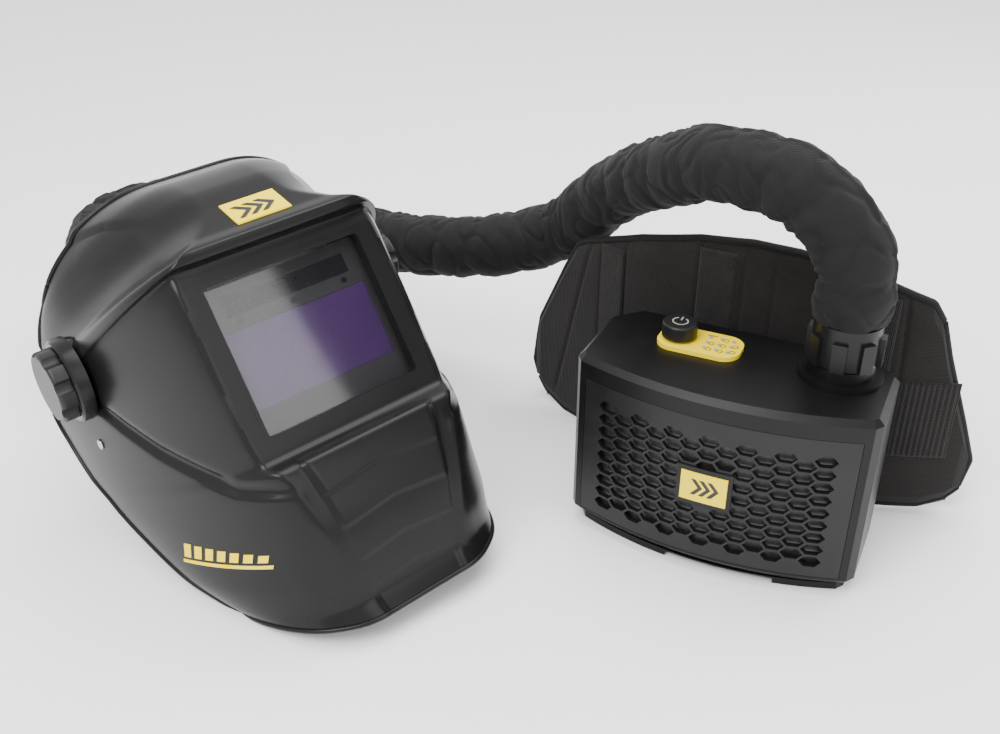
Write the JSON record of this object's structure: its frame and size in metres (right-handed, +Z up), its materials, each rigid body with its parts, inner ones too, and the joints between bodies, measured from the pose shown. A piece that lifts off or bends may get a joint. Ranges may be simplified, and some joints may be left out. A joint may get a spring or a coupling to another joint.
{
  "type": "powered air respirator",
  "caption": "Powered air respirator: flip-up welding helmet fed through a fabric-covered hose by a belt-worn filter blower.",
  "frame": {"origin": "middle of the foot the blower stands on", "axes": "+X from the helmet to the blower, +Z up"},
  "size_m": [0.7139, 0.4834, 0.2826],
  "materials": {
    "shell_black": "satin moulded thermoplastic",
    "case_black": "fine textured moulded plastic",
    "badge_yellow": "printed label",
    "lens_clear": "clear polycarbonate",
    "filter_violet": "liquid crystal filter",
    "frame_grey": "grey cartridge frame",
    "solar_dark": "solar cell",
    "hard_grey": "moulded nylon",
    "fabric_black": "woven nylon",
    "foam_dark": "padded cloth",
    "filter_media": "pleated filter paper",
    "steel": "zinc plated steel",
    "rubber_black": "soft rubber",
    "pcb_green": "circuit board",
    "hose_grey": "corrugated hose"
  },
  "bodies": {
    "respirator": {"blower_case": "case_black", "spark_arrestor": "steel", "prefilter": "filter_media", "particle_filter": "filter_media", "filter_gasket": "rubber_black", "fan_scroll": "hard_grey", "fan_motor": "steel", "circuit_board": "pcb_green", "control_panel": "badge_yellow", "indicator_leds": "solar_dark", "outlet_spigot": "case_black", "outlet_seal": "rubber_black", "belt_bracket": "hard_grey", "case_screws": "steel", "blower_cuff": "rubber_black", "belt_pad": "fabric_black", "belt_loops": "fabric_black", "side_patch": "fabric_black", "belt_webbing": "fabric_black", "buckle_socket": "hard_grey", "buckle_plug": "hard_grey", "strap_slider": "hard_grey", "hose_cover": "fabric_black", "breathing_hose": "hose_grey", "duct_inlet": "hard_grey", "air_duct": "hard_grey", "head_band": "hard_grey", "sweat_band": "foam_dark", "nape_pad": "foam_dark", "crown_strap": "hard_grey", "strap_rivets": "hard_grey", "pivot_arms": "hard_grey", "pivot_bolts": "steel", "friction_washers": "rubber_black", "ratchet_housing": "hard_grey"},
    "shell": {"helmet_shell": "shell_black", "side_rivets": "steel", "window_frame": "shell_black", "cover_lens": "lens_clear", "adf_housing": "frame_grey", "adf_lcd": "filter_violet", "solar_panel": "solar_dark", "arc_sensors": "solar_dark", "adf_holder": "hard_grey", "inner_cover_lens": "lens_clear", "forehead_badge": "badge_yellow", "cheek_mark": "badge_yellow", "face_seal": "foam_dark"},
    "knob_right": {"tension_knob_right": "case_black"},
    "knob_left": {"tension_knob_left": "case_black"},
    "nape_dial": {"ratchet_knob": "case_black"},
    "head_nut": {"head_nut": "case_black"},
    "blower_nut": {"hose_nut": "case_black"},
    "button": {"power_button": "hard_grey"},
    "fan": {"impeller": "hard_grey"},
    "battery": {"battery": "case_black"},
    "latch": {"battery_latch": "hard_grey"},
    "grille": {"filter_cover": "case_black", "badge_plate": "case_black", "grille_badge": "badge_yellow"}
  },
  "joints": [
    {"name": "shell_tilt", "type": "hinge", "parent": "respirator", "child": "shell", "pos_m": [-0.35, 0.079, 0.1301], "axis": [-0.7642, -0.6417, -0.0645], "range_deg": [0, 60]},
    {"name": "knob_right_turn", "type": "hinge", "parent": "respirator", "child": "knob_right", "pos_m": [-0.44553, -0.00121, 0.12203], "axis": [0.7642, 0.6417, 0.0645], "range_deg": [-90, 90]},
    {"name": "knob_left_turn", "type": "hinge", "parent": "respirator", "child": "knob_left", "pos_m": [-0.25447, 0.15921, 0.13817], "axis": [0.7642, 0.6417, 0.0645], "range_deg": [-90, 90]},
    {"name": "nape_dial_turn", "type": "hinge", "parent": "respirator", "child": "nape_dial", "pos_m": [-0.41307, 0.15896, 0.08196], "axis": [0.503, -0.6557, 0.5631], "continuous": true},
    {"name": "head_nut_twist", "type": "hinge", "parent": "respirator", "child": "head_nut", "pos_m": [-0.42895, 0.16879, 0.12717], "axis": [-0.7728, 0.6133, -0.1633], "range_deg": [0, 45]},
    {"name": "blower_nut_twist", "type": "hinge", "parent": "respirator", "child": "blower_nut", "pos_m": [0.06498, -0.01278, 0.16], "axis": [0, 0, 1], "range_deg": [0, 45]},
    {"name": "power_press", "type": "slide", "parent": "respirator", "child": "button", "axis": [0, 0, -1], "range_m": [0, 0.0016], "stiffness_N_per_m": 600, "springref_m": -0.002},
    {"name": "fan_spin", "type": "hinge", "parent": "respirator", "child": "fan", "pos_m": [0.03933, 0.00307, 0.062], "axis": [0.4384, 0.8988, 0], "continuous": true},
    {"name": "battery_out", "type": "slide", "parent": "respirator", "child": "battery", "axis": [-0.8988, 0.4384, 0], "range_m": [0, 0.09]},
    {"name": "latch_slide", "type": "slide", "parent": "respirator", "child": "latch", "axis": [0, 0, 1], "range_m": [0, 0.0035], "stiffness_N_per_m": 300, "springref_m": -0.003},
    {"name": "grille_off", "type": "slide", "parent": "respirator", "child": "grille", "axis": [-0.4384, -0.8988, 0], "range_m": [0, 0.05]}
  ]
}
